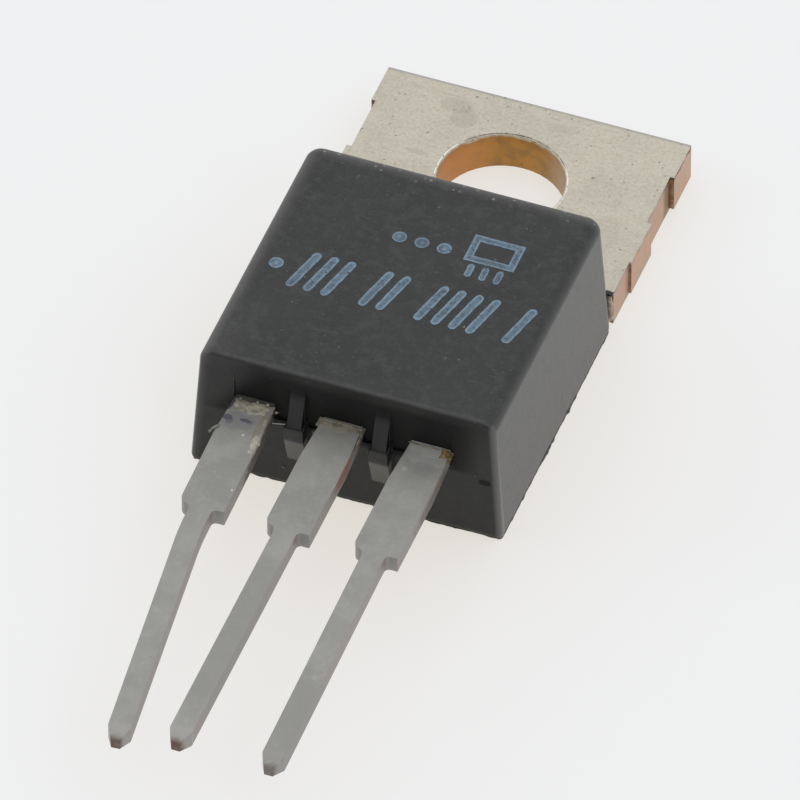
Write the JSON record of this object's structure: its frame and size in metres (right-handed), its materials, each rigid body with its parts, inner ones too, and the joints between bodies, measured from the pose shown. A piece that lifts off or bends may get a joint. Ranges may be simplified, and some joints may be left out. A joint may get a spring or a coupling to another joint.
{
  "type": "to-220 transistor",
  "caption": "Power transistor in a tab package: an epoxy body on a plated copper heat tab with a mounting hole, and a row of flat leads.",
  "frame": {"origin": "on the mounting hole's axis, in the plane of the tab's back face", "axes": "+X to the right across the lead row seen from the front, +Y from the lead tips towards the tab's far end, +Z out of the tab's back face towards the body's top face"},
  "size_m": [0.0091, 0.0277, 0.0043],
  "materials": {
    "epoxy": "satin",
    "plated_copper": "satin",
    "tinned_lead": "satin",
    "silicon": "gloss",
    "solder": "satin",
    "bond_wire": "satin"
  },
  "bodies": {
    "root": {"moulded_body": "epoxy", "header_tab": "plated_copper", "base_lead": "tinned_lead", "emitter_lead": "tinned_lead", "transistor_die": "silicon", "die_solder": "solder", "base_wire": "bond_wire", "emitter_wire": "bond_wire"}
  },
  "joints": []
}
